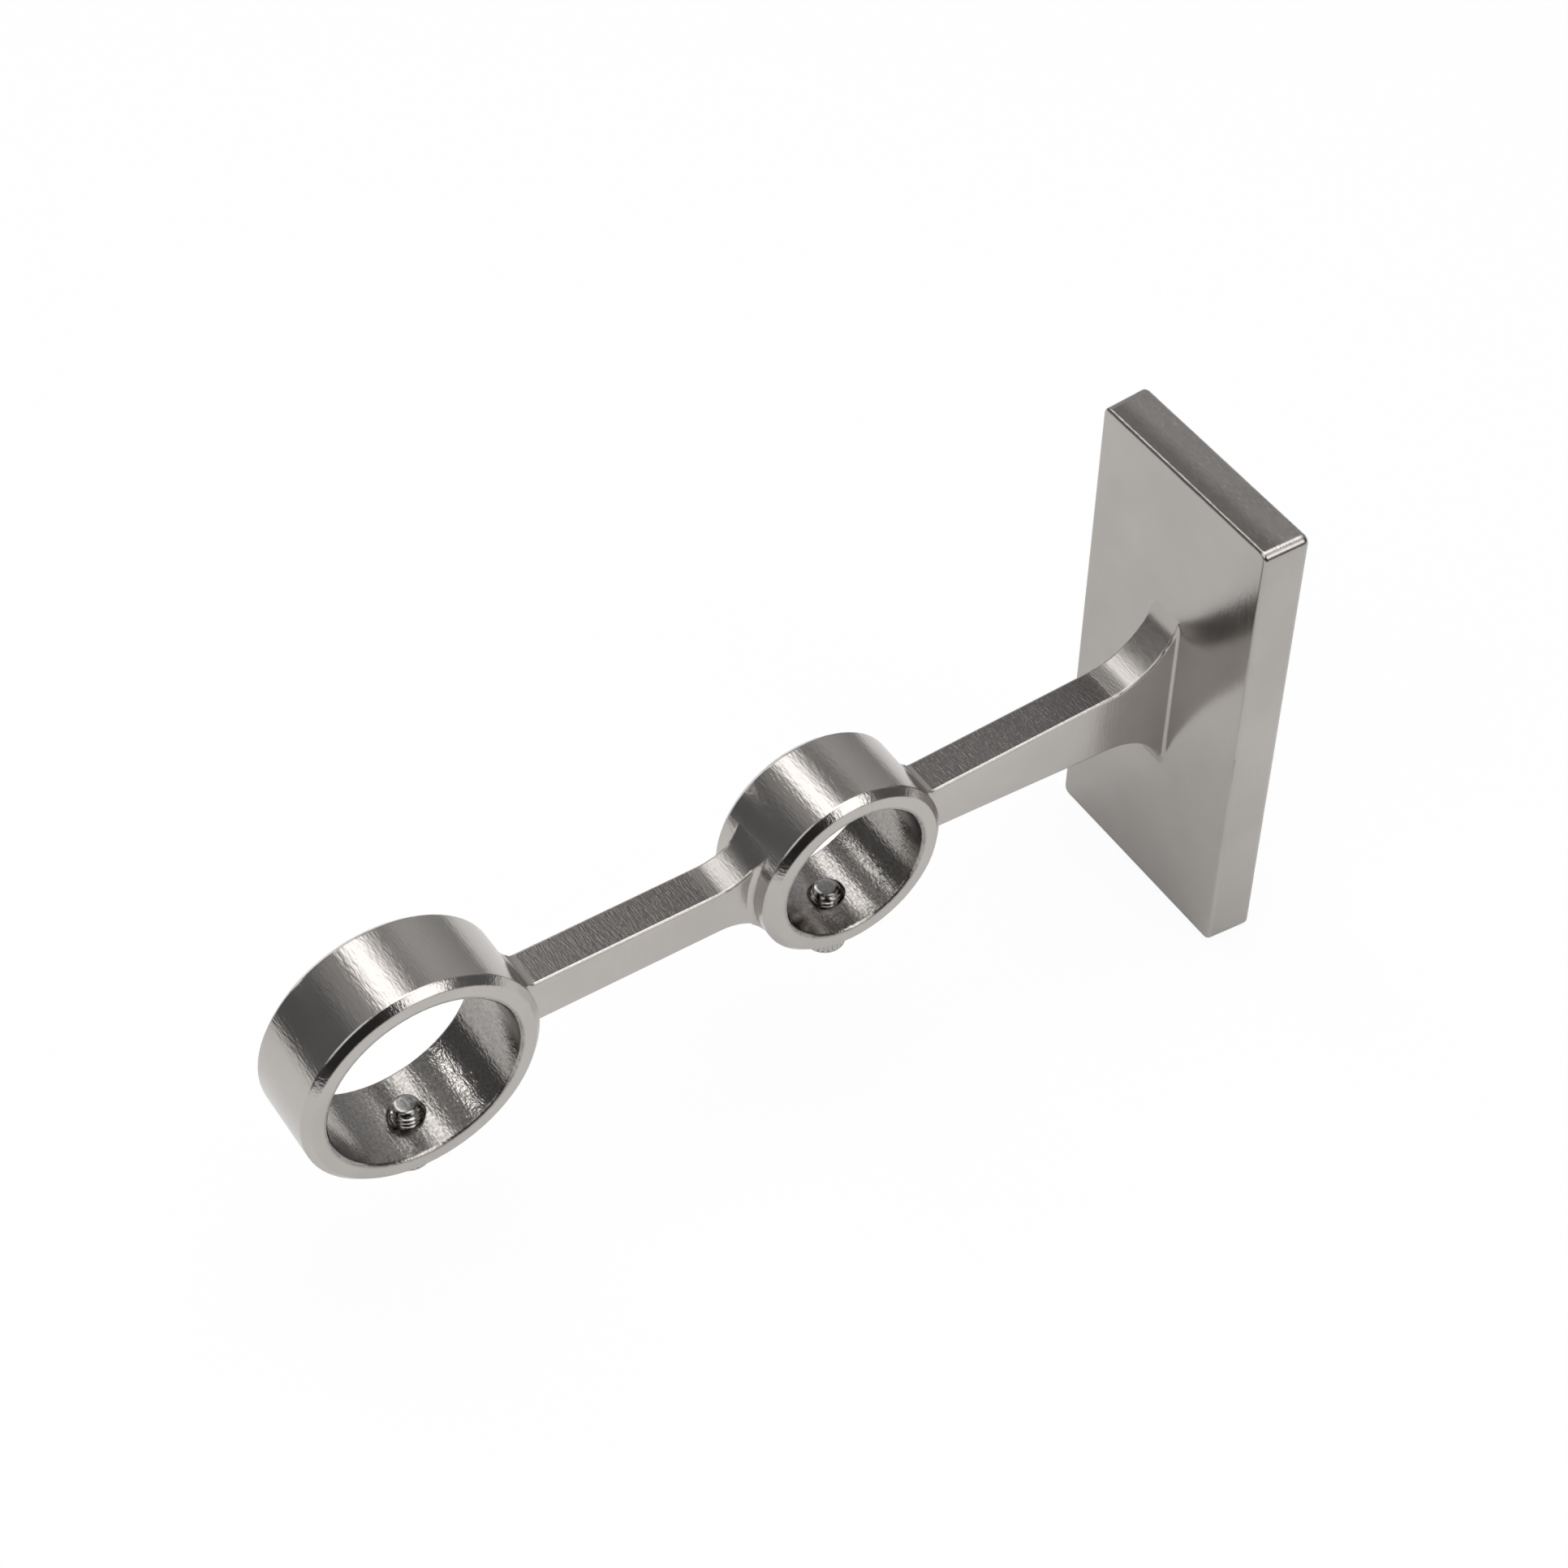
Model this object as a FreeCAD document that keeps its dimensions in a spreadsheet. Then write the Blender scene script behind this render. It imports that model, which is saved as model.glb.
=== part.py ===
import FreeCAD, Part
import math
import os
import Sketcher
from FreeCAD import Vector

# A double curtain pole bracket with two closed rings, in millimetres.
# X runs along the poles, the arm reaches out along -Y, Z is up, and Y = 0 is the wall.
# The origin is the middle of the rose's back face.

DIMENSIONS = {
    # The rose, the flat hollow box against the wall
    "rose_width": 34.0,
    "rose_height": 74.0,
    "rose_depth": 6.9,
    "rose_draft": 2.5,
    "rose_corner_radius": 1.2,
    "rose_edge_radius": 0.5,
    "rose_back_radius": 0.8,
    "rose_side_wall": 1.8,
    "rose_front_wall": 1.5,
    # The arm, a flat bar that grows taller towards the wall
    "arm_width": 5.7,
    "outer_arm_height": 7.1,
    "inner_arm_height": 7.5,
    "root_arm_height": 10.2,
    "root_flare_radius": 10.8,
    "root_flare_inset": 0.25,
    "root_fillet": 0.5,
    "arm_edge_radius": 0.35,
    # The rings that hold the poles
    "front_reach": 121.9,
    "rear_reach": 59.6,
    "front_bore": 26.5,
    "rear_bore": 20.5,
    "ring_wall": 3.2,
    "ring_width": 12.9,
    "ring_chamfer": 1.0,
    "ring_edge_radius": 0.2,
    "bore_edge_chamfer": 0.25,
    "ring_flare_radius": 8.0,
    "ring_fillet": 2.2,
    "ring_side_fillet": 0.8,
    "blend_overlap": 0.02,
    # The clamp screws and their holes
    "screw_diameter": 4.0,
    "screw_tip_chamfer": 0.6,
    "screw_clearance": 0.05,
    "hole_countersink": 0.25,
    "head_overhang": 0.8,
    "head_height": 4.4,
    "head_chamfer": 0.4,
    "knurl_count": 24,
    "knurl_depth": 0.25,
    "front_standout": 2.2,
    "front_head_gap": 0.6,
    "rear_head_gap": 1.3,
    # The plate on the wall
    "plate_thickness": 1.2,
    "plate_gap": 0.3,
    "plate_front_gap": 0.5,
    "plate_bend_radius": 0.6,
    "fixing_hole": 4.5,
    "fixing_spacing": 44.0,
    # The screw that locks the rose to the plate, and the boss it runs in
    "boss_width": 8.0,
    "boss_height": 2.4,
    "lock_diameter": 3.0,
    "lock_sink": 0.4,
    "lock_setback": 0.1,
    "lock_chamfer": 0.3,
    "lock_point_diameter": 1.6,
    "lock_point_clearance": 0.15,
    "lock_point_reach": 0.7,
    "lock_socket_size": 1.5,
    "lock_socket_depth": 1.5,
}

RINGS = (("Front", "Size.front_reach", "Size.front_bore"),
         ("Rear", "Size.rear_reach", "Size.rear_bore"))

PLATE_FLANGE = "(Size.rose_depth - Size.rose_front_wall - Size.plate_front_gap)"
LOCK_REACH = f"({PLATE_FLANGE} + Size.plate_thickness + Size.plate_bend_radius) / 2"

doc = FreeCAD.newDocument("curtain_pole_bracket")
sheet = doc.addObject("Spreadsheet::Sheet", "Size")
for row, (name, number) in enumerate(DIMENSIONS.items(), start=1):
    sheet.set(f"A{row}", name)
    sheet.set(f"B{row}", str(number))
    sheet.setAlias(f"B{row}", name)
doc.recompute()


def value(formula):
    """The number that a formula of the sheet's cells gives."""
    result = sheet.evalExpression(formula)
    return float(getattr(result, "Value", result))


def at(across, up):
    """The point that two formulas give."""
    return Vector(value(across), value(up), 0)


def add_body(name):
    body = doc.addObject("PartDesign::Body", name)
    body.Label = name
    return body


def place(body, reach, height):
    """Move a body in the middle plane by two formulas."""
    body.setExpression(".Placement.Base.y", reach)
    body.setExpression(".Placement.Base.z", height)


def add_sketch(body, name, role):
    """A sketch on one of the body's own origin planes."""
    sketch = body.newObject("Sketcher::SketchObject", name)
    plane = next(item for item in body.Origin.OriginFeatures if item.Role == role)
    sketch.AttachmentSupport = [(plane, "")]
    sketch.MapMode = "FlatFace"
    return sketch


def bind(sketch, kind, *where_and_formula):
    """Add a constraint whose number is the formula given last."""
    *where, formula = where_and_formula
    index = sketch.addConstraint(Sketcher.Constraint(kind, *where, value(formula)))
    sketch.setExpression(f"Constraints[{index}]", formula)


def pin(sketch, item, end, across, up):
    """Hold a point at two formulas measured from the sketch's origin; "0" puts it on the axis."""
    for kind, axis, formula in (("DistanceX", -2, across), ("DistanceY", -1, up)):
        if formula == "0":
            sketch.addConstraint(Sketcher.Constraint("PointOnObject", item, end, axis))
        else:
            bind(sketch, kind, -1, 1, item, end, formula)


def add_path(sketch, corners, centres=None, smooth=()):
    """A closed path through corners.

    A leg listed in centres is an arc, anticlockwise about its centre.
    A leg listed in smooth runs into the next one without a corner.
    """
    centres = centres or {}
    legs = []
    for i, start in enumerate(corners):
        end = corners[(i + 1) % len(corners)]
        if i in centres:
            middle = centres[i]
            first = math.atan2(start.y - middle.y, start.x - middle.x)
            last = math.atan2(end.y - middle.y, end.x - middle.x)
            if last < first:
                last += 2 * math.pi
            circle = Part.Circle(middle, Vector(0, 0, 1), (start - middle).Length)
            legs.append(sketch.addGeometry(Part.ArcOfCircle(circle, first, last), False))
        else:
            legs.append(sketch.addGeometry(Part.LineSegment(start, end), False))
    for i, leg in enumerate(legs):
        joint = "Tangent" if i in smooth else "Coincident"
        sketch.addConstraint(Sketcher.Constraint(joint, leg, 2, legs[(i + 1) % len(legs)], 1))
    return legs


def add_outline(sketch, corners, centres=None):
    """A closed outline whose corners are pairs of formulas; a leg may be an arc about a centre."""
    legs = add_path(sketch, [at(*corner) for corner in corners], centres)
    for leg, corner in zip(legs, corners):
        pin(sketch, leg, 1, *corner)
    return legs


def add_circle(sketch, across, up, diameter):
    circle = Part.Circle(at(across, up), Vector(0, 0, 1), value(diameter) / 2)
    item = sketch.addGeometry(circle, False)
    pin(sketch, item, 3, across, up)
    bind(sketch, "Diameter", item, diameter)


def add_axis(sketch, *ends):
    """A construction line between two points, each a pair of formulas, for a shape to turn about."""
    axis = sketch.addGeometry(Part.LineSegment(*[at(*end) for end in ends]), True)
    for number, end in enumerate(ends, start=1):
        pin(sketch, axis, number, *end)


def add_feature(body, kind, name, profile, **formulas):
    feature = body.newObject(f"PartDesign::{kind}", name)
    feature.Profile = profile
    for prop, formula in formulas.items():
        feature.setExpression(prop, formula)
    return feature


def add_symmetric_pad(body, name, profile, width):
    pad = add_feature(body, "Pad", name, profile, Length=width)
    pad.SideType = "Symmetric"
    doc.recompute()
    return pad


def add_turned(body, kind, name, profile, axis):
    doc.recompute()
    turned = add_feature(body, kind, name, profile)
    turned.ReferenceAxis = (profile, [axis])
    doc.recompute()
    return turned


def add_through(body, name, profile, sides="Symmetric"):
    """A pocket through everything, on both sides of its sketch or below it."""
    pocket = add_feature(body, "Pocket", name, profile)
    pocket.Type = "ThroughAll"
    pocket.SideType = sides
    doc.recompute()
    return pocket


def dress(body, kind, name, base, edges, prop, formula):
    """A fillet or chamfer on the named edges of the feature before it."""
    feature = body.newObject(f"PartDesign::{kind}", name)
    feature.Base = (base, edges)
    feature.setExpression(prop, formula)
    doc.recompute()
    return feature


def edges_where(feature, test):
    """The names of the feature's edges that pass a test of their middle point and the edge."""
    found = []
    for number, edge in enumerate(feature.Shape.Edges, start=1):
        middle = edge.valueAt((edge.FirstParameter + edge.LastParameter) / 2)
        if test(middle, edge):
            found.append(f"Edge{number}")
    return found


def outer_radius(bore):
    return f"({bore} / 2 + Size.ring_wall)"


def beside_ring(centre, radius, side, half_height, fillet):
    """Where an arc of a given radius touches a ring and a level line, on one side of the ring."""
    run = math.sqrt((radius + fillet) ** 2 - (half_height + fillet) ** 2)
    middle = Vector(centre + side * run, half_height + fillet, 0)
    on_line = Vector(middle.x, half_height, 0)
    ring_middle = Vector(centre, 0, 0)
    on_ring = ring_middle + (middle - ring_middle) * (radius / (radius + fillet))
    return middle, on_line, on_ring


def flipped(point):
    return Vector(point.x, -point.y, 0)


def touch_ring(sketch, reach, bore, arc, arc_end):
    """Make an arc's end touch a ring: a spoke from the ring's middle meets it and passes its centre."""
    spoke = sketch.addGeometry(Part.LineSegment(at(f"-{reach}", "0"), sketch.getPoint(arc, arc_end)), True)
    pin(sketch, spoke, 1, f"-{reach}", "0")
    sketch.addConstraint(Sketcher.Constraint("Coincident", spoke, 2, arc, arc_end))
    sketch.addConstraint(Sketcher.Constraint("PointOnObject", arc, 3, spoke))
    bind(sketch, "Distance", spoke, outer_radius(bore))


def arm_outline(body):
    """The side view of the arm: bar, flares at both rings and at the rose, closed off inside them."""
    front, rear = -value("Size.front_reach"), -value("Size.rear_reach")
    front_radius, rear_radius = (value(outer_radius(bore)) for _, _, bore in RINGS)
    outer_half = value("Size.outer_arm_height / 2")
    inner_half = value("Size.inner_arm_height / 2")
    fillet, flare = value("Size.ring_fillet"), value("Size.ring_flare_radius")
    root_radius = value("Size.root_flare_radius")
    root_reach = "-(Size.rose_depth + Size.root_flare_radius - Size.root_flare_inset)"
    root_height = "(Size.root_arm_height / 2 + Size.root_flare_radius)"
    rose_face = "-Size.rose_depth"
    inside_face = "-Size.rose_depth + Size.rose_front_wall / 2"

    # Where the arcs meet the bar and what carries it, along the top from the front ring to the rose
    front_arc, front_line, front_ring = beside_ring(front, front_radius, 1, outer_half, fillet)
    flare_arc, flare_line, flare_ring = beside_ring(rear, rear_radius, -1, outer_half, flare)
    back_arc, back_line, back_ring = beside_ring(rear, rear_radius, 1, inner_half, fillet)
    root_arc = at(root_reach, root_height)
    to_root = root_arc - back_line
    slope = math.atan2(to_root.y, to_root.x) - math.asin(root_radius / to_root.Length)
    run = math.sqrt(to_root.Length ** 2 - root_radius ** 2)
    root_line = back_line + Vector(math.cos(slope), math.sin(slope), 0) * run
    root_drop = math.sqrt(root_radius ** 2 - (value(rose_face) - root_arc.x) ** 2)
    root_end = Vector(value(rose_face), root_arc.y - root_drop, 0)
    inside = Vector(value(inside_face), root_end.y, 0)

    sketch = add_sketch(body, "ArmOutline", "YZ_Plane")
    top = [front_ring, front_line, flare_line, flare_ring, back_ring, back_line, root_line, root_end,
           inside]
    corners = top + [flipped(point) for point in reversed(top)]
    top_arcs = {0: front_arc, 2: flare_arc, 4: back_arc, 6: root_arc}
    lower_arcs = {16 - leg: flipped(middle) for leg, middle in top_arcs.items()}
    legs = add_path(sketch, corners, {**top_arcs, **lower_arcs}, smooth=(0, 1, 4, 5, 10, 11, 14, 15))

    # The lower half runs the other way, so the ends of its legs change places
    for sign, outer, inner, half in (("", 1, 2, legs[:8]), ("-", 2, 1, legs[16:8:-1])):
        front_fillet, bar, ring_flare, _, back_fillet, slant, root_flare, entry = half
        sketch.addConstraint(Sketcher.Constraint("Horizontal", bar))
        sketch.addConstraint(Sketcher.Constraint("Horizontal", entry))
        bind(sketch, "DistanceY", -1, 1, bar, outer, f"{sign}Size.outer_arm_height / 2")
        bind(sketch, "DistanceY", -1, 1, slant, outer, f"{sign}Size.inner_arm_height / 2")
        pin(sketch, root_flare, 3, root_reach, f"{sign}{root_height}")
        bind(sketch, "DistanceX", -1, 1, root_flare, inner, rose_face)
        bind(sketch, "DistanceX", -1, 1, entry, inner, inside_face)
        bind(sketch, "Radius", front_fillet, "Size.ring_fillet")
        bind(sketch, "Radius", ring_flare, "Size.ring_flare_radius")
        bind(sketch, "Radius", back_fillet, "Size.ring_fillet")
        bind(sketch, "Radius", root_flare, "Size.root_flare_radius")
        touch_ring(sketch, "Size.front_reach", "Size.front_bore", front_fillet, outer)
        touch_ring(sketch, "Size.rear_reach", "Size.rear_bore", ring_flare, inner)
        touch_ring(sketch, "Size.rear_reach", "Size.rear_bore", back_fillet, outer)
    return sketch


def build_ring_blend(name, reach, bore):
    """The fillets between the arm's sides and a ring: a wide arm turned down to a ridge on the ring."""
    body = add_body(f"{name}Blend")
    side = "(Size.arm_width / 2 - Size.blend_overlap)"
    edge = "(Size.arm_width / 2 - Size.blend_overlap + Size.ring_side_fillet)"
    add_symmetric_pad(body, f"{name}WideArm", arm_outline(body), f"2 * {edge}")
    sketch = add_sketch(body, f"{name}RidgeOutline", "XY_Plane")
    outside = "Size.ring_width"
    foot = f"{outer_radius(bore)} - Size.blend_overlap - {reach}"
    crest = f"{foot} + Size.ring_side_fillet"
    centres = {0: at(f"-{edge}", crest), 2: at(edge, crest)}
    legs = add_outline(sketch, [(f"-{edge}", foot), (f"-{side}", crest), (side, crest), (edge, foot),
                                (outside, foot), (outside, reach), (f"-{outside}", reach),
                                (f"-{outside}", foot)], centres)
    for leg in centres:
        bind(sketch, "Radius", legs[leg], "Size.ring_side_fillet")
    add_axis(sketch, ("0", f"-{reach}"), ("Size.ring_width", f"-{reach}"))
    body.Tip = add_turned(body, "Groove", f"{name}Ridge", sketch, "Axis0")
    return body


def build_arm_and_rings(body):
    side = value("Size.arm_width / 2")

    def outside_rings(point):
        return all(math.hypot(point.y + value(reach), point.z) > value(outer_radius(bore)) - 0.01
                   for _, reach, bore in RINGS)

    def goes_round(edge, reach):
        curve = edge.Curve
        return (isinstance(curve, Part.Circle) and abs(curve.Center.y + value(reach)) < 1e-3
                and edge.Length > 30)

    arm = add_symmetric_pad(body, "Arm", arm_outline(body), "Size.arm_width")
    long_edges = edges_where(arm, lambda point, edge: abs(abs(point.x) - side) < 1e-6
                             and point.y < -value("Size.rose_depth") and outside_rings(point))
    dress(body, "Fillet", "ArmEdges", arm, long_edges, "Radius", "Size.arm_edge_radius")

    for name, reach, bore in RINGS:
        sketch = add_sketch(body, f"{name}RingOutline", "YZ_Plane")
        add_circle(sketch, f"-{reach}", "0", f"2 * {outer_radius(bore)}")
        ring = add_symmetric_pad(body, f"{name}Ring", sketch, "Size.ring_width")
        face = value("Size.ring_width / 2")
        rims = edges_where(ring, lambda point, edge: goes_round(edge, reach)
                           and abs(abs(point.x) - face) < 1e-6)
        ring = dress(body, "Chamfer", f"{name}RingChamfer", ring, rims, "Size", "Size.ring_chamfer")
        rims = edges_where(ring, lambda point, edge: goes_round(edge, reach) and abs(point.x) > side + 0.1)
        dress(body, "Fillet", f"{name}RingEdges", ring, rims, "Radius", "Size.ring_edge_radius")

    blends = [build_ring_blend(*ring) for ring in RINGS]
    joined = body.newObject("PartDesign::Boolean", "RingBlends")
    joined.setObjects(blends)
    joined.Type = "Fuse"
    doc.recompute()


def build_rose(body):
    """Four drafted sides with rounded corners and rims, and a small fillet around the arm's root."""
    sketch = add_sketch(body, "RoseOutline", "XZ_Plane")
    across, up = "Size.rose_width / 2", "Size.rose_height / 2"
    add_outline(sketch, [(f"-{across}", f"-{up}"), (across, f"-{up}"), (across, up), (f"-{across}", up)])
    rose = add_feature(body, "Pad", "Rose", sketch, Length="Size.rose_depth", TaperAngle="-Size.rose_draft")
    doc.recompute()

    face = -value("Size.rose_depth")
    near_side, near_end = value(across) - 2, value(up) - 2
    corners = edges_where(rose, lambda point, edge: abs(point.y - face / 2) < 1
                          and abs(point.x) > near_side and abs(point.z) > near_end)
    rose = dress(body, "Fillet", "RoseCorners", rose, corners, "Radius", "Size.rose_corner_radius")
    for name, plane, radius in (("RoseRim", face, "Size.rose_edge_radius"),
                                ("RoseBackRim", 0, "Size.rose_back_radius")):
        rim = edges_where(rose, lambda point, edge: abs(point.y - plane) < 1e-4
                          and (abs(point.x) > near_side or abs(point.z) > near_end))
        rose = dress(body, "Fillet", name, rose, rim, "Radius", radius)
    root_half = value("Size.root_arm_height / 2 + Size.root_flare_radius")
    root = edges_where(rose, lambda point, edge: abs(point.y - face) < 0.02
                       and abs(point.x) < value("Size.arm_width / 2") + 0.1 and abs(point.z) < root_half)
    dress(body, "Fillet", "RootFillet", rose, root, "Radius", "Size.root_fillet")


def build_bores(body):
    """The bores for the poles, and the clamp screws' holes with a countersink in the bore."""
    for name, reach, bore in RINGS:
        sketch = add_sketch(body, f"{name}BoreOutline", "YZ_Plane")
        add_circle(sketch, f"-{reach}", "0", bore)
        hole = add_through(body, f"{name}Bore", sketch)
        face = value("Size.ring_width / 2")
        rims = edges_where(hole, lambda point, edge: isinstance(edge.Curve, Part.Circle)
                           and abs(abs(point.x) - face) < 1e-4
                           and abs(edge.Curve.Radius - value(bore) / 2) < 1e-4
                           and abs(edge.Curve.Center.y + value(reach)) < 1e-4)
        dress(body, "Chamfer", f"{name}BoreEdges", hole, rims, "Size", "Size.bore_edge_chamfer")

    for name, reach, bore in RINGS:
        sketch = add_sketch(body, f"{name}ScrewHoleOutline", "YZ_Plane")
        wall = f"-{reach} + Size.screw_diameter / 2 + Size.screw_clearance"
        above = f"-{bore} / 2 + Size.hole_countersink"
        neck = f"-{bore} / 2 - Size.hole_countersink"
        below = f"-{bore} / 2 - 2 * Size.ring_wall"
        add_outline(sketch, [(f"-{reach}", above), (f"{wall} + 2 * Size.hole_countersink", above),
                             (wall, neck), (wall, below), (f"-{reach}", below)])
        add_axis(sketch, (f"-{reach}", f"-{bore} / 2"), (f"-{reach}", "0"))
        add_turned(body, "Groove", f"{name}ScrewHole", sketch, "Axis0")


def build_hollow(body):
    """The space behind the rose's front wall, around the boss that takes the lock screw."""
    sketch = add_sketch(body, "HollowOutline", "XZ_Plane")
    across = "(Size.rose_width / 2 - Size.rose_side_wall)"
    up = "(Size.rose_height / 2 - Size.rose_side_wall)"
    boss, boss_top = "Size.boss_width / 2", f"-{up} + Size.boss_height"
    add_outline(sketch, [(f"-{across}", f"-{up}"), (f"-{boss}", f"-{up}"), (f"-{boss}", boss_top),
                         (boss, boss_top), (boss, f"-{up}"), (across, f"-{up}"),
                         (across, up), (f"-{across}", up)])
    hollow = add_feature(body, "Pocket", "Hollow", sketch, Length="Size.rose_depth - Size.rose_front_wall")
    hollow.Reversed = True
    doc.recompute()
    sketch = add_sketch(body, "LockHoleOutline", "XY_Plane")
    add_circle(sketch, "0", f"-{LOCK_REACH}", "Size.lock_diameter + 2 * Size.screw_clearance")
    add_through(body, "LockHole", sketch, "One side")


def build_bracket():
    """The zinc casting: arm, rings and rose in one piece."""
    body = add_body("bracket_body")
    build_arm_and_rings(body)
    build_rose(body)
    build_bores(body)
    build_hollow(body)


def build_wall_plate():
    """The steel plate screwed to the wall: two flanges that the rose slips over, and two holes."""
    body = add_body("wall_plate")
    sketch = add_sketch(body, "PlateOutline", "YZ_Plane")
    top = "Size.rose_height / 2 - Size.rose_side_wall - Size.plate_gap"
    bottom = "-Size.rose_height / 2 + Size.rose_side_wall + Size.boss_height + Size.plate_gap"
    under_top = f"{top} - Size.plate_thickness"
    over_bottom = f"{bottom} + Size.plate_thickness"
    thick, flange = "-Size.plate_thickness", f"-{PLATE_FLANGE}"
    width = "Size.rose_width - 2 * Size.rose_side_wall - 2 * Size.plate_gap"
    add_outline(sketch, [("0", bottom), ("0", top), (flange, top), (flange, under_top),
                         (thick, under_top), (thick, over_bottom), (flange, over_bottom), (flange, bottom)])
    plate = add_symmetric_pad(body, "Plate", sketch, width)
    inner = edges_where(plate, lambda point, edge: abs(point.x) < 0.1 and abs(point.y - value(thick)) < 1e-6)
    plate = dress(body, "Fillet", "InnerBends", plate, inner, "Radius", "Size.plate_bend_radius")
    outer = edges_where(plate, lambda point, edge: abs(point.x) < 0.1 and abs(point.y) < 1e-6)
    dress(body, "Fillet", "OuterBends", plate, outer, "Radius",
          "Size.plate_bend_radius + Size.plate_thickness")

    sketch = add_sketch(body, "FixingHoleOutline", "XZ_Plane")
    for up in ("Size.fixing_spacing / 2", "-Size.fixing_spacing / 2"):
        add_circle(sketch, "0", up, "Size.fixing_hole")
    add_through(body, "FixingHoles", sketch)
    sketch = add_sketch(body, "LockPointHoleOutline", "XY_Plane")
    add_circle(sketch, "0", f"-{LOCK_REACH}", "Size.lock_point_diameter + 2 * Size.lock_point_clearance")
    add_through(body, "LockPointHole", sketch, "One side")


def build_lock_screw():
    """The headless screw in the bottom of the rose; its thin point stands in the plate's lower flange."""
    body = add_body("plate_lock_screw")
    sketch = add_sketch(body, "LockOutline", "XZ_Plane")
    radius, point = "Size.lock_diameter / 2", "Size.lock_point_diameter / 2"
    shoulder = "Size.rose_side_wall + Size.boss_height - Size.lock_sink - Size.lock_setback"
    tip = f"{shoulder} + Size.lock_setback + Size.plate_gap + Size.plate_thickness + Size.lock_point_reach"
    add_outline(sketch, [("0", "0"), (f"{radius} - Size.lock_chamfer", "0"), (radius, "Size.lock_chamfer"),
                         (radius, shoulder), (point, shoulder), (point, tip), ("0", tip)])
    add_turned(body, "Revolution", "LockShank", sketch, "V_Axis")

    sketch = add_sketch(body, "SocketOutline", "XY_Plane")
    corner, flat = "Size.lock_socket_size / sqrt(3)", "Size.lock_socket_size / 2"
    add_outline(sketch, [(corner, "0"), (f"{corner} / 2", flat), (f"-{corner} / 2", flat),
                         (f"-{corner}", "0"), (f"-{corner} / 2", f"-{flat}"), (f"{corner} / 2", f"-{flat}")])
    socket = add_feature(body, "Pocket", "Socket", sketch, Length="Size.lock_socket_depth")
    socket.Reversed = True
    place(body, f"-{LOCK_REACH}", "-Size.rose_height / 2 + Size.lock_sink")


def build_clamp_screw(name, reach, bore, head_gap):
    """A clamp screw with a round knurled head, drawn from the plane under its head."""
    body = add_body(name)
    sketch = add_sketch(body, "ScrewOutline", "XZ_Plane")
    shank, chamfer = "Size.screw_diameter / 2", "Size.head_chamfer"
    head = f"({shank} + Size.head_overhang)"
    length = "Size.front_head_gap + Size.ring_wall + Size.front_standout"
    add_outline(sketch, [("0", "-Size.head_height"), (f"{head} - {chamfer}", "-Size.head_height"),
                         (head, f"-Size.head_height + {chamfer}"), (head, f"-{chamfer}"),
                         (f"{head} - {chamfer}", "0"), (shank, "0"),
                         (shank, f"{length} - Size.screw_tip_chamfer"),
                         (f"{shank} - Size.screw_tip_chamfer", length), ("0", length)])
    add_turned(body, "Revolution", "ScrewShank", sketch, "V_Axis")

    sketch = add_sketch(body, "GrooveOutline", "XY_Plane")
    bottom, outside = f"{head} - Size.knurl_depth", f"{head} + Size.knurl_depth"
    add_outline(sketch, [(bottom, "0"), (outside, "-2 * Size.knurl_depth"), (outside, "2 * Size.knurl_depth")])
    groove = add_through(body, "KnurlGroove", sketch, "One side")
    knurl = body.newObject("PartDesign::PolarPattern", "Knurl")
    knurl.Originals = [groove]
    knurl.Axis = (sketch, ["N_Axis"])
    knurl.Angle = 360
    knurl.setExpression("Occurrences", "Size.knurl_count")
    body.Tip = knurl
    place(body, f"-{reach}", f"-{outer_radius(bore)} - {head_gap}")


build_bracket()
build_wall_plate()
build_lock_screw()
build_clamp_screw("front_clamp_screw", "Size.front_reach", "Size.front_bore", "Size.front_head_gap")
build_clamp_screw("rear_clamp_screw", "Size.rear_reach", "Size.rear_bore", "Size.rear_head_gap")
doc.recompute()

for item in doc.Objects:
    if "Invalid" in item.State or "Error" in item.State:
        raise RuntimeError(f"{item.Label} did not compute: {item.State}")
    if item.isDerivedFrom("PartDesign::Feature") and (item.Shape.isNull() or not item.Shape.isValid()):
        raise RuntimeError(f"{item.Label} has no sound shape")

os.makedirs("parts", exist_ok=True)
for name in ("bracket_body", "wall_plate", "plate_lock_screw", "front_clamp_screw", "rear_clamp_screw"):
    shape = doc.getObjectsByLabel(name)[0].Shape
    shape.exportStep(f"parts/{name}.step")
    print(name, round(shape.Volume, 2), "mm3 in", len(shape.Solids), "solid")
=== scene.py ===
import math
from collections import namedtuple

import bpy
from mathutils import Matrix, Vector


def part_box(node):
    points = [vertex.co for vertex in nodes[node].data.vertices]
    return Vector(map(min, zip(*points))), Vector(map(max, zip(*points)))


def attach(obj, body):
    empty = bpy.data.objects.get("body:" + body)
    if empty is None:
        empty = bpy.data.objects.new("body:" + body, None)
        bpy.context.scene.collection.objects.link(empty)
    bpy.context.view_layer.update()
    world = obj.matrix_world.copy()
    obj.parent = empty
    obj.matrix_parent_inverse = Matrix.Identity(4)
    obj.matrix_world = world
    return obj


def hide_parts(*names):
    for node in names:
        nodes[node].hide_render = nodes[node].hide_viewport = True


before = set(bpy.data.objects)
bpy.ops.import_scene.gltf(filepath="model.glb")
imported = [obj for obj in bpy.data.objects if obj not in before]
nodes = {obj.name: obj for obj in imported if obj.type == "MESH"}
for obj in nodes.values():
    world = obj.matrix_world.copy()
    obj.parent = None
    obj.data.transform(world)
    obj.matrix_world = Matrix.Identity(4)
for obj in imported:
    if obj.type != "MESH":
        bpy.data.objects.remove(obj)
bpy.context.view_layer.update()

MM = 0.001

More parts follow.
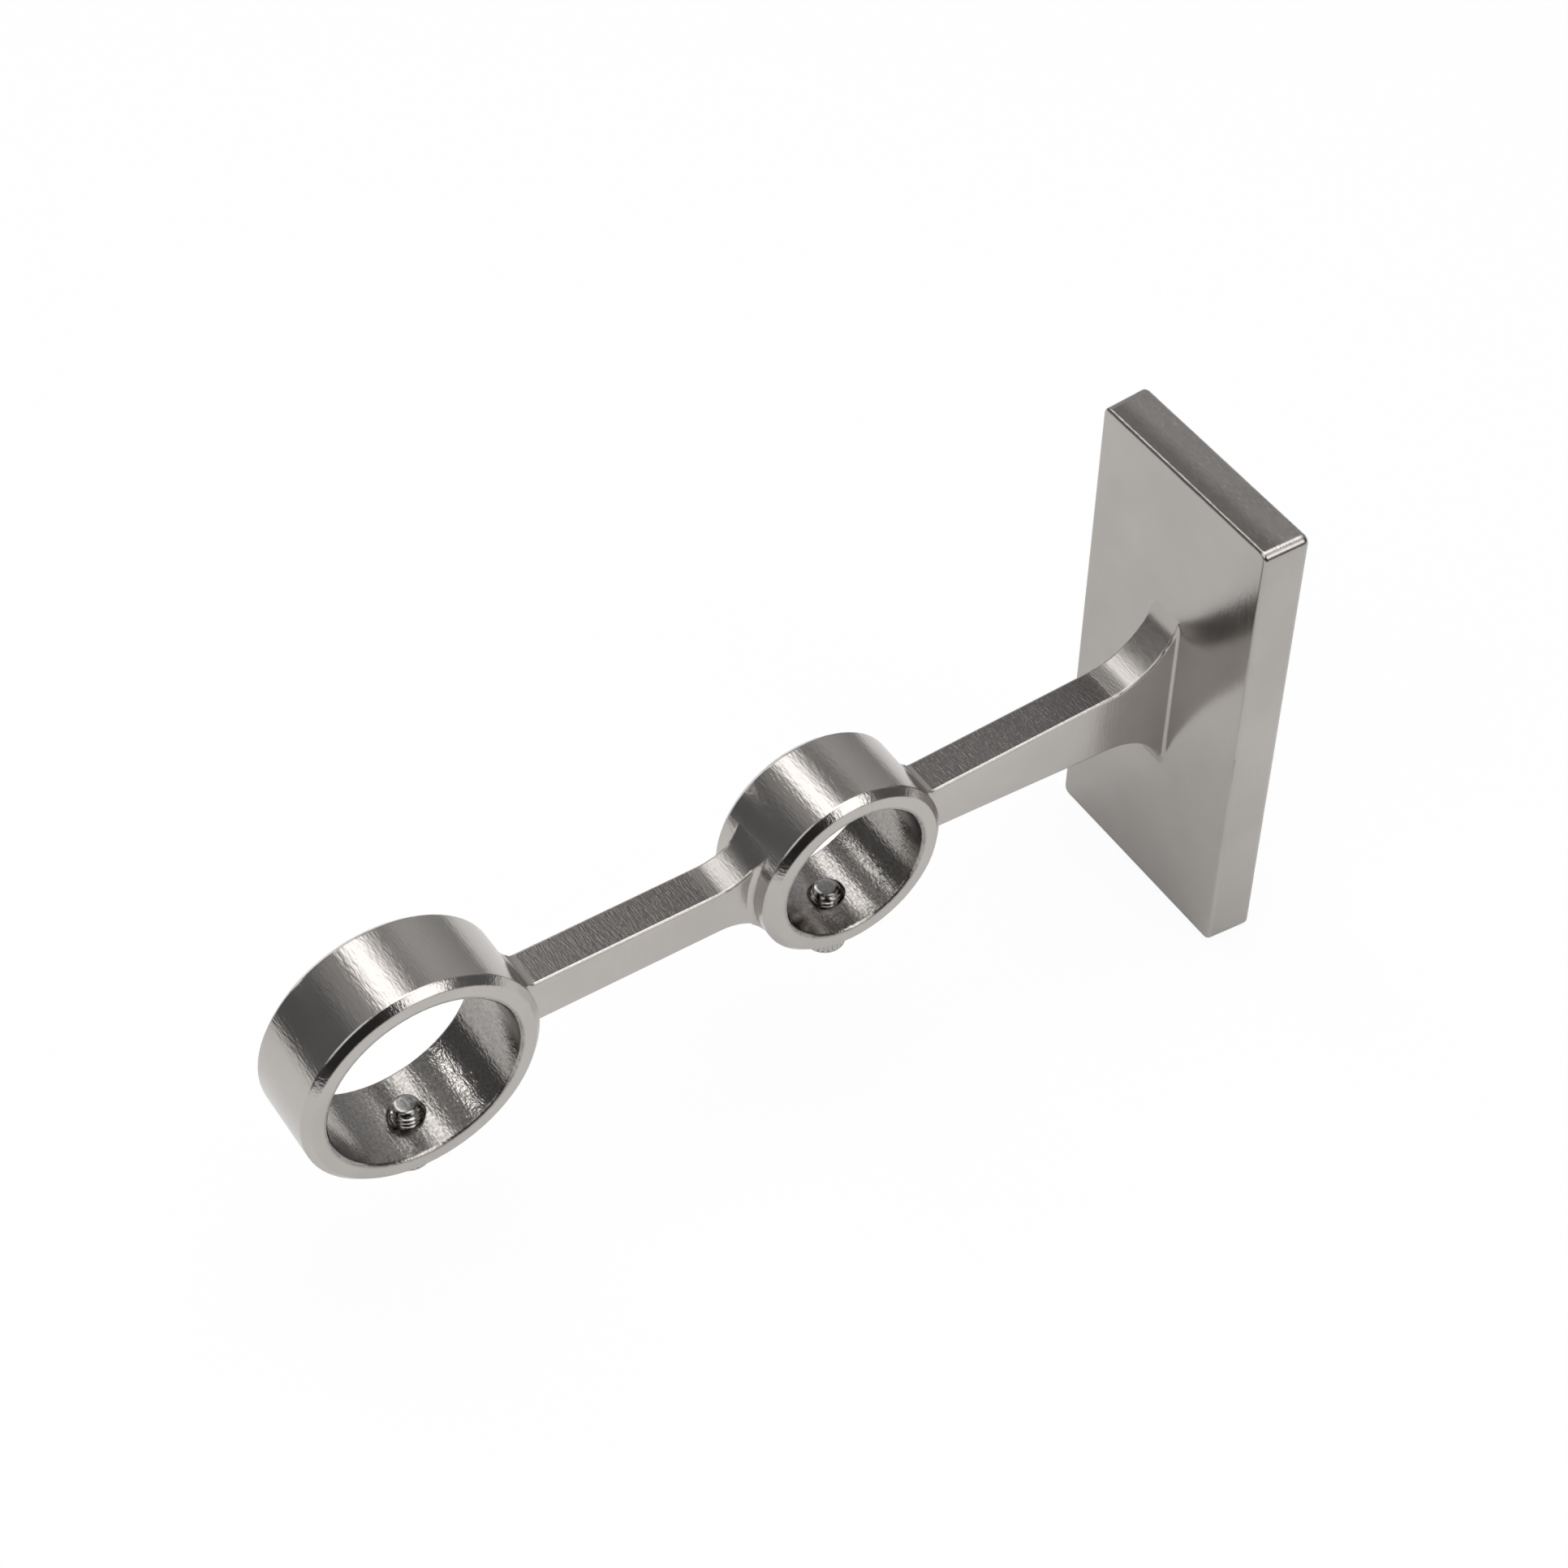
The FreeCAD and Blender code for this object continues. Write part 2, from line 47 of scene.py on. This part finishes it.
# The rings around the poles, in metres: the y of the centre, the outer radius and the bore's radius.
Ring = namedtuple("Ring", "y outer bore")
FRONT_RING = Ring(-0.1219, 0.01645, 0.01325)
REAR_RING = Ring(-0.0596, 0.01345, 0.01025)


# ---------------------------------------------------------------- helpers
class Graph:
    """A short way to write node trees: each call adds one node or a few and links their inputs."""

    def __init__(self, tree):
        self.tree = tree
        tree.nodes.clear()

    def add(self, kind, inputs=(), output=0, **settings):
        """A new node's output, or the node itself where output is None."""
        node = self.tree.nodes.new(kind)
        for key, value in settings.items():
            setattr(node, key, value)
        for key, value in dict(inputs).items():
            self.put(node.inputs[key], value)
        return node if output is None else node.outputs[output]

    def put(self, socket, value):
        if isinstance(value, bpy.types.NodeSocket):
            self.tree.links.new(value, socket)
        else:
            socket.default_value = value

    def math(self, operation, a, b=0.0):
        return self.add("ShaderNodeMath", {0: a, 1: b}, operation=operation)

    def times(self, first, *others):
        for other in others:
            first = self.math("MULTIPLY", first, other)
        return first

    def plus(self, first, *others):
        for other in others:
            first = self.math("ADD", first, other)
        return first

    def rest(self, share):
        """What a share leaves of 1."""
        return self.math("SUBTRACT", 1.0, share)

    def vector(self, operation, a, b=(0.0, 0.0, 0.0), output=0):
        inputs = {0: a} if operation in ("NORMALIZE", "ABSOLUTE") else {0: a, 1: b}
        return self.add("ShaderNodeVectorMath", inputs, output, operation=operation)

    def ramp(self, value, low, high, to_low=0.0, to_high=1.0, smooth=True):
        """value mapped from low..high to to_low..to_high."""
        return self.add(
            "ShaderNodeMapRange",
            {"Value": value, "From Min": low, "From Max": high, "To Min": to_low, "To Max": to_high},
            interpolation_type="SMOOTHSTEP" if smooth else "LINEAR",
        )

    def band(self, value, start, full, fading, end):
        """1 between full and fading, and 0 before start and after end."""
        return self.times(self.ramp(value, start, full), self.ramp(value, fading, end, 1.0, 0.0))

    def split(self, vector):
        node = self.add("ShaderNodeSeparateXYZ", {0: vector}, None)
        return node.outputs[0], node.outputs[1], node.outputs[2]

    def noise(self, vector, scale, detail, roughness):
        return self.add(
            "ShaderNodeTexNoise",
            {"Vector": vector, "Scale": scale, "Detail": detail, "Roughness": roughness},
        )

    def stretched(self, vector, scale, rotation=(0.0, 0.0, 0.0)):
        return self.add("ShaderNodeMapping", {"Vector": vector, "Scale": scale, "Rotation": rotation})

    def mix(self, factor, a, b):
        return self.add("ShaderNodeMix", {0: factor, 2: a, 3: b}, data_type="FLOAT")

    def tint(self, factor, a, b):
        return self.add("ShaderNodeMix", {0: factor, 6: a, 7: b}, 2, data_type="RGBA")


def new_material(name):
    material = bpy.data.materials.new(name)
    material.use_nodes = True
    return material, Graph(material.node_tree)


def new_object(name, data):
    obj = bpy.data.objects.new(name, data)
    bpy.context.scene.collection.objects.link(obj)
    return obj


def dress(obj, material):
    obj.data.materials.clear()
    obj.data.materials.append(material)


# ---------------------------------------------------------------- materials
# The arm's flares along y, in millimetres: start, full, fading and end.
ROOT_FLARE = (-18.5, -15.5, -9.0, -7.0)
THROAT_FLARE = (-80.0, -78.3, -74.6, -73.4)

# Relief, in millimetres.
BRUSH_UPRIGHT, BRUSH_TOP = 0.005, 0.052
PEEL_LOW, PEEL_ON_RING, GRAIN_IN_BORE = 0.004, 0.028, 0.024

# Painted shade: the share of the tone that is lost on the arm's top, along the rose's top front edge and in
# patches along the bores' edges, and the tone of the whole rose.
ARM_TOP_SHADE, ROSE_TOP_SHADE, BORE_EDGE_SHADE, ROSE_SHADE_TONE = 0.53, 0.38, 0.9, 0.88

# How far from a corner an edge is rubbed, and how much brighter it gets, partly from wear and partly as a
# painted highlight.
EDGE_RADIUS, EDGE_WEAR_AND_SHEEN = 0.28 * MM, 1.1


def ring_zones(g, y, z):
    """How much of a surface belongs to the rings, and how much to their bores. Lengths are millimetres."""
    on_ring, in_bore = 0.0, 0.0
    for ring in (FRONT_RING, REAR_RING):
        across = g.math("SUBTRACT", y, ring.y / MM)
        reach = g.math("SQRT", g.plus(g.times(across, across), g.times(z, z)))
        outer, bore = ring.outer / MM, ring.bore / MM
        on_ring = g.math("MAXIMUM", on_ring, g.ramp(reach, outer + 0.1, outer + 1.6, 1.0, 0.0))
        in_bore = g.math("MAXIMUM", in_bore, g.ramp(reach, bore + 0.3, bore + 0.7, 1.0, 0.0))
    return on_ring, in_bore


def plated_metal(name, dark, light, roughness, peel, brushed, bore_shade=(0.58, 0.80)):
    """Metal plating: brushed flats, a polished orange peel on the rings, granular bores, rubbed edges, with
    painted shade on the tops and in the bores and a painted highlight on the edges.

    Patches and streaks mix the colours dark and light. peel and brushed scale the relief. bore_shade is the
    painted shade of the darkest and the lightest grains in a bore. Positions and heights are in millimetres.
    """
    material, g = new_material(name)
    coords = g.add("ShaderNodeTexCoord", (), None)
    mm = g.vector("MULTIPLY", coords.outputs["Object"], (1.0 / MM,) * 3)
    nx, _, nz = g.split(g.vector("ABSOLUTE", coords.outputs["Normal"]))
    _, y, z = g.split(mm)
    on_ring, in_bore = ring_zones(g, y, z)
    off_ring = g.rest(on_ring)

    # Brushing runs upright on the front and side faces and across the arm on the top faces.
    sides = g.noise(g.stretched(mm, (0.2, 3.4, 0.22)), 1.0, 3.0, 0.55)
    fronts = g.noise(g.stretched(mm, (3.4, 0.2, 0.3), (0.0, math.radians(12), 0.0)), 1.0, 3.0, 0.55)
    tops = g.noise(g.stretched(mm, (0.9, 4.6, 0.2), (0.0, 0.0, math.radians(-12))), 1.0, 3.0, 0.6)
    upright = g.mix(g.ramp(nx, 0.5, 0.8), fronts, sides)
    streaks = g.mix(g.ramp(nz, 0.55, 0.8), upright, tops)
    depth = g.mix(g.ramp(nz, 0.8, 0.93), BRUSH_UPRIGHT * brushed, BRUSH_TOP * brushed)

    # Orange peel: drawn out along the rings' axis outside, round grains in the bores, pebbles everywhere.
    drawn = g.noise(g.stretched(mm, (0.8, 2.8, 2.8)), 1.0, 2.0, 0.6)
    grains = g.noise(mm, 2.4, 2.0, 0.6)
    pebbles = g.noise(mm, 0.8, 1.0, 0.5)
    height = g.plus(
        g.times(streaks, off_ring, depth),
        g.times(drawn, g.mix(on_ring, PEEL_LOW * peel, PEEL_ON_RING * peel)),
        g.times(grains, g.mix(in_bore, PEEL_LOW * peel, GRAIN_IN_BORE * peel)),
        g.times(pebbles, PEEL_LOW * peel),
    )

    # Edges, found where a rounded normal leaves the true one, are rubbed smoother and brighter: the brighter
    # colour is partly wear and partly a painted highlight.
    true_normal = g.add("ShaderNodeNewGeometry", (), "Normal")
    soft_normal = g.add("ShaderNodeBevel", {"Radius": EDGE_RADIUS}, samples=4)
    edge = g.ramp(g.vector("DOT_PRODUCT", soft_normal, true_normal, "Value"), 0.99, 0.8, 0.0, 1.0)
    patches = g.noise(mm, 0.09, 2.0, 0.5)
    # The rubbed share of an edge, whose colour is partly wear and partly a painted highlight.
    rubbed_and_sheen = g.times(edge, g.ramp(patches, 0.35, 0.65, 0.5, 1.0))

    # Tone, all painted shade: the arm's flat top, its start at the root and the rose's top front edge are
    # darker, and the whole rose a little. The bores are darkened in a mottle that follows their grains, and in
    # patches along their edges.
    root, throat = g.band(y, *ROOT_FLARE), g.band(y, *THROAT_FLARE)
    # Painted shade: the start of the root flare and the arm's flat top are darkened.
    root_shade = g.times(root, g.ramp(nz, 0.94, 0.975))
    shaded_top = g.times(g.math("MAXIMUM", g.ramp(nz, 0.994, 0.9995), root_shade), off_ring)
    # Painted shade, deeper on the arm's top than along the rose's top front edge.
    top_shade = g.mix(g.ramp(y, -8.5, -7.0), ARM_TOP_SHADE, g.ramp(y, -5.6, -3.0, ROSE_TOP_SHADE, 0.0))
    tone = g.times(
        g.rest(g.times(shaded_top, top_shade)),
        # Painted shade over the whole rose.
        g.ramp(y, -12.0, -7.0, 1.0, ROSE_SHADE_TONE),
        # Painted shade in the bores, mottled with the grains.
        g.mix(in_bore, 1.0, g.ramp(grains, 0.3, 0.7, *bore_shade)),
        # Painted shade in patches along the bores' edges.
        g.rest(g.times(edge, in_bore, g.ramp(grains, 0.45, 0.53, BORE_EDGE_SHADE, 0.0))),
    )

    shade = g.plus(g.times(g.ramp(patches, 0.25, 0.75), 0.55), g.times(streaks, 0.45))
    # Rubbed edges take a brighter colour: partly wear, partly a painted highlight.
    worn_and_sheen = [channel * EDGE_WEAR_AND_SHEEN for channel in light]
    colour = g.tint(shade, (*dark, 1.0), (*light, 1.0))
    colour = g.tint(rubbed_and_sheen, colour, (*worn_and_sheen, 1.0))
    colour = g.vector("MULTIPLY", colour, g.add("ShaderNodeCombineXYZ", {0: tone, 1: tone, 2: tone}))

    # Roughness: higher with the streaks and patches, most of all on the flares. Lower on the rings and their
    # chamfers, in the bores and along rubbed edges.
    upward = g.times(g.ramp(nz, 0.35, 0.6), off_ring)
    flares = g.times(g.math("MAXIMUM", root, throat), upward)
    chamfers = g.times(on_ring, g.band(nx, 0.3, 0.5, 0.9, 0.97))
    rough = g.plus(
        roughness - 0.03,
        g.times(streaks, 0.06),
        g.ramp(patches, 0.3, 0.75, 0.0, 0.02),
        g.times(flares, g.ramp(tops, 0.3, 0.7, 0.12, 0.18)),
        g.times(in_bore, -0.03),
        g.times(on_ring, -0.02),
        g.times(chamfers, -0.01),
        g.times(rubbed_and_sheen, -0.04),
    )

    bump = g.add("ShaderNodeBump", {"Strength": 1.0, "Distance": MM, "Height": height, "Normal": soft_normal})
    shader = g.add(
        "ShaderNodeBsdfPrincipled",
        {"Base Color": colour, "Metallic": 1.0, "Roughness": rough, "Normal": bump, "IOR": 1.5},
    )
    g.add("ShaderNodeOutputMaterial", {"Surface": shader}, None)
    return material


# ---------------------------------------------------------------- clamp screws
SHANK_LENGTH = 6.0 * MM

# The thread: M4, with a shallow round root.
THREAD_RADIUS, THREAD_DEPTH, THREAD_PITCH = 2.0 * MM, 0.40 * MM, 0.7 * MM
CORE_RADIUS = THREAD_RADIUS - THREAD_DEPTH
THREAD_LEVELS = 96

# The cone at the thread's start: its share of the radius at the tip, and how far down it reaches.
CONE_START, CONE_LENGTH = 0.74, 0.75 * MM

HEAD_RADIUS = 2.8 * MM
GROOVES, GROOVE_DEPTH, GROOVE_AT_RIM = 24, 0.25 * MM, 0.05 * MM
KNURL_ROWS = 9

# Outlines in millimetres, as height over the level they start from, and radius.
POINT = ((0.0, 0.05), (0.0, 0.70), (0.0, 1.24), (-0.02, 1.34), (-0.07, 1.41))
COLLAR = ((0.0, 2.30), (-0.04, 2.42))
UNDERSIDE = ((0.05, 2.44), (0.0, 2.32), (0.0, 1.2), (0.06, 0.9), (0.06, 0.05))

STEPS = 144
SHARP_ANGLE = math.radians(32)


def limit(value):
    return min(1.0, max(0.0, value))


def thread_radius(turn):
    """The thread's radius at a place along its pitch, 0 to 1, with a flat crest and a round root."""
    crest, root = 0.12, 0.86
    half = abs(turn % 1.0 - 0.5) * 2.0
    drop = limit((half - crest) / (root - crest))
    return THREAD_RADIUS - THREAD_DEPTH * (drop * drop * (3.0 - 2.0 * drop))


def knurl(cut):
    """The knurled head's radius at each step round it, with V grooves this deep."""

    def radius(i):
        place = (i * GROOVES / STEPS) % 1.0
        return HEAD_RADIUS - cut * (1.0 - 2.0 * abs(place - 0.5))

    return radius


def clamp_screw(name, y, tip, head_top, head_bottom):
    """A thumb screw from its tip down: flat point, M4 thread, neck and knurled head."""
    rows = []

    def row(z, radius):
        rows.append((z, [radius(i) if callable(radius) else radius for i in range(STEPS)]))

    def outline(level, profile):
        for height, radius in profile:
            row(level + height * MM, radius * MM)

    outline(tip, POINT)

    # The thread starts as a cone at the point and dies out at the neck.
    top, low = tip - 0.12 * MM, head_top + 0.35 * MM
    for k in range(THREAD_LEVELS + 1):
        z = top + (low - top) * k / THREAD_LEVELS
        cone = min(1.0, CONE_START + (1.0 - CONE_START) * (tip - z) / CONE_LENGTH)
        fade = limit((z - low) / (0.5 * MM))

        def radius(i, z=z, cone=cone, fade=fade):
            full = thread_radius(z / THREAD_PITCH + i / STEPS)
            return min(THREAD_RADIUS * cone, full * fade + CORE_RADIUS * (1.0 - fade))

        row(z, radius)
    row(head_top + 0.05 * MM, CORE_RADIUS)
    row(head_top, CORE_RADIUS + 0.05 * MM)

    # The head: a thin collar face, then a straight knurl that is chamfered at both ends.
    outline(head_top, COLLAR)
    row(head_top - 0.30 * MM, knurl(GROOVE_AT_RIM))
    knurl_top, knurl_bottom = head_top - 0.45 * MM, head_bottom + 0.45 * MM
    for k in range(KNURL_ROWS):
        row(knurl_top - (knurl_top - knurl_bottom) * k / (KNURL_ROWS - 1), knurl(GROOVE_DEPTH))
    row(head_bottom + 0.30 * MM, knurl(GROOVE_AT_RIM))
    outline(head_bottom, UNDERSIDE)

    points = []
    for z, radii in rows:
        for i, radius in enumerate(radii):
            angle = 2.0 * math.pi * i / STEPS
            points.append((radius * math.cos(angle), y + radius * math.sin(angle), z))
    faces = []
    for k in range(len(rows) - 1):
        a, b = k * STEPS, (k + 1) * STEPS
        for i in range(STEPS):
            j = (i + 1) % STEPS
            faces.append((a + i, b + i, b + j, a + j))
    faces.append(tuple(range(STEPS)))
    faces.append(tuple(reversed(range((len(rows) - 1) * STEPS, len(rows) * STEPS))))
    mesh = bpy.data.meshes.new(name)
    mesh.from_pydata(points, [], faces)
    mesh.validate()
    mesh.shade_smooth()
    mesh.set_sharp_from_angle(angle=SHARP_ANGLE)
    return new_object(name, mesh)


# ---------------------------------------------------------------- the bracket
satin = plated_metal("satin_nickel", (0.447, 0.423, 0.402), (0.522, 0.495, 0.470), 0.19, 1.0, 1.0)
# bright_nickel's last pair is the painted shade of the darkest and lightest grains in a bore.
bright = plated_metal("bright_nickel", (0.42, 0.407, 0.389), (0.54, 0.525, 0.504), 0.18, 0.3, 0.3, (0.78, 1.0))
zinc = plated_metal("zinc_plate", (0.42, 0.43, 0.44), (0.58, 0.59, 0.60), 0.40, 0.8, 1.0)

for name, material in (("bracket_body", satin), ("wall_plate", zinc), ("plate_lock_screw", zinc)):
    dress(nodes[name], material)

for node, body, ring in (
    ("front_clamp_screw", "front_screw", FRONT_RING),
    ("rear_clamp_screw", "rear_screw", REAR_RING),
):
    low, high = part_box(node)
    screw = clamp_screw(node + "_detail", ring.y, high.z, high.z - SHANK_LENGTH, low.z)
    dress(screw, bright)
    dress(nodes[node], bright)
    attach(screw, body)
    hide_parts(node)


# ---------------------------------------------------------------- floor, light and camera
# A round sheet of paper that reaches past the camera's view, and how white the camera sees it.
FLOOR_Z, FLOOR_CENTRE, FLOOR_RADIUS, FLOOR_SIDES = -0.0376, (-0.29, 0.19), 0.70, 96
FLOOR_WHITE = 0.95

BRACKET_MIDDLE = Vector((0.0, -0.08, 0.0))

# Lamps: name, azimuth and elevation in degrees, distance, width and height in metres, and radiance.
LAMPS = (
    ("left_softbox", -174.5, 55.5, 0.9, 0.26, 1.10, 1.95),
    ("left_edge_strip", 164, 55.5, 0.9, 0.07, 0.50, 0.8),
    ("right_softbox", 22, 33, 0.9, 0.46, 0.46, 2.3),
    ("front_softbox", -79, 42, 0.9, 0.75, 0.75, 1.5),
    ("top_softbox", 72, 81, 1.0, 0.80, 0.80, 3.0),
)

# Small lamps that put the second streak of light into the bores. Each aims at its bore's wall, at an angle
# from the bottom: name, ring, that angle, azimuth and elevation in degrees, size in metres, and radiance.
GLINTS = (
    ("front_ring_glint", FRONT_RING, 32.5, -132.0, 35.0, 0.0055, 7.6),
    ("rear_ring_glint", REAR_RING, 38, -130.0, 34.0, 0.009, 2.2),
)
GLINT_DISTANCE = 0.06

# The camera, fitted to the photo.
SENSOR_WIDTH, LENS, SHIFT = 36.0, 84.373, (0.04872, -0.11002)
CAMERA_RIGHT = (0.535471, 0.844551, 0.002075)
CAMERA_UP = (-0.59757, 0.377138, 0.707585)
CAMERA_BACK = (0.596809, -0.380131, 0.706625)
CAMERA_EYE = (0.254052, -0.239711, 0.351991)
NEAREST = 0.01

WHITE = (1.0, 1.0, 1.0, 1.0)


def direction(azimuth, elevation):
    a, e = math.radians(azimuth), math.radians(elevation)
    return Vector((math.cos(e) * math.cos(a), math.cos(e) * math.sin(a), math.sin(e)))


def softbox(name, azimuth, elevation, distance, width, height, radiance, aim=BRACKET_MIDDLE):
    """A rectangular lamp that stands in a direction from the place it aims at, unseen by the camera."""
    data = bpy.data.lights.new(name, "AREA")
    data.shape = "RECTANGLE"
    data.size, data.size_y = width, height
    data.energy = radiance * width * height * math.pi
    lamp = new_object(name, data)
    away = direction(azimuth, elevation)
    facing = away.to_track_quat("Z", "Y").to_matrix().to_4x4()
    lamp.matrix_world = Matrix.Translation(aim + away * distance) @ facing
    lamp.visible_camera = False


def build_floor():
    x, y = FLOOR_CENTRE
    angles = [2 * math.pi * i / FLOOR_SIDES for i in range(FLOOR_SIDES)]
    rim = [(x + FLOOR_RADIUS * math.cos(a), y + FLOOR_RADIUS * math.sin(a), FLOOR_Z) for a in angles]
    mesh = bpy.data.meshes.new("floor")
    mesh.from_pydata(rim, [], [tuple(range(FLOOR_SIDES))])
    floor = new_object("floor", mesh)
    material, g = new_material("paper")
    paper = g.add("ShaderNodeBsdfDiffuse", {"Color": (0.90, 0.90, 0.90, 1.0)})
    white = g.add("ShaderNodeEmission", {"Color": WHITE, "Strength": 1.0})
    seen = g.add("ShaderNodeLightPath", (), "Is Camera Ray")
    shown = g.add("ShaderNodeMixShader", {0: g.times(seen, FLOOR_WHITE), 1: paper, 2: white})
    g.add("ShaderNodeOutputMaterial", {"Surface": shown}, None)
    dress(floor, material)


def build_world():
    world = bpy.data.worlds.new("studio")
    bpy.context.scene.world = world
    world.use_nodes = True
    g = Graph(world.node_tree)
    ray = g.vector("NORMALIZE", g.add("ShaderNodeTexCoord", (), "Generated"))
    x, y, z = g.split(ray)
    flat = g.vector("NORMALIZE", g.add("ShaderNodeCombineXYZ", {0: x, 1: y, 2: 0.0}))

    def within(axis, toward, outer, inner, low, high):
        """low beyond the outer angle from a direction, high inside the inner one."""
        near = g.vector("DOT_PRODUCT", axis, toward, "Value")
        return g.ramp(near, math.cos(math.radians(outer)), math.cos(math.radians(inner)), low, high)

    # A dim room, darkest where the photographer stands, a lit backdrop behind, which gets brighter as it rises
    # and dim again above its top edge, and a glow around the left lamp.
    room_level = within(flat, direction(-35, 0), 75, 35, 0.13, 0.02)
    backdrop = within(flat, direction(120, 0), 52, 36, 0.0, 1.0)
    rise = g.ramp(z, 0.03, 0.62, 0.19, 0.43, smooth=False)
    top_edge = g.ramp(z, 0.60, 0.78, 1.0, 0.3)
    glow = within(ray, direction(-163, 52), 28, 12, 0.0, 0.22)
    level = g.plus(g.times(backdrop, rise, top_edge), room_level, glow)
    room = g.add("ShaderNodeBackground", {"Color": (0.985, 0.99, 1.0, 1.0), "Strength": level})
    white = g.add("ShaderNodeBackground", {"Color": WHITE, "Strength": 1.0})
    seen = g.add("ShaderNodeLightPath", (), "Is Camera Ray")
    shown = g.add("ShaderNodeMixShader", {0: seen, 1: room, 2: white})
    g.add("ShaderNodeOutputWorld", {"Surface": shown}, None)


def build_camera():
    data = bpy.data.cameras.new("camera")
    data.sensor_width = SENSOR_WIDTH
    data.lens = LENS
    data.shift_x, data.shift_y = SHIFT
    data.clip_start = NEAREST
    camera = new_object("camera", data)
    axes = zip(CAMERA_RIGHT, CAMERA_UP, CAMERA_BACK, CAMERA_EYE)
    camera.matrix_world = Matrix([*axes, (0, 0, 0, 1)])
    bpy.context.scene.camera = camera


build_floor()
build_world()
for lamp in LAMPS:
    softbox(*lamp)
for name, ring, angle, azimuth, elevation, size, radiance in GLINTS:
    lean = math.radians(angle)
    wall = Vector((0.0, ring.y + ring.bore * math.sin(lean), -ring.bore * math.cos(lean)))
    softbox(name, azimuth, elevation, GLINT_DISTANCE, size, size, radiance, wall)
build_camera()
bpy.context.scene.view_settings.view_transform = "Standard"
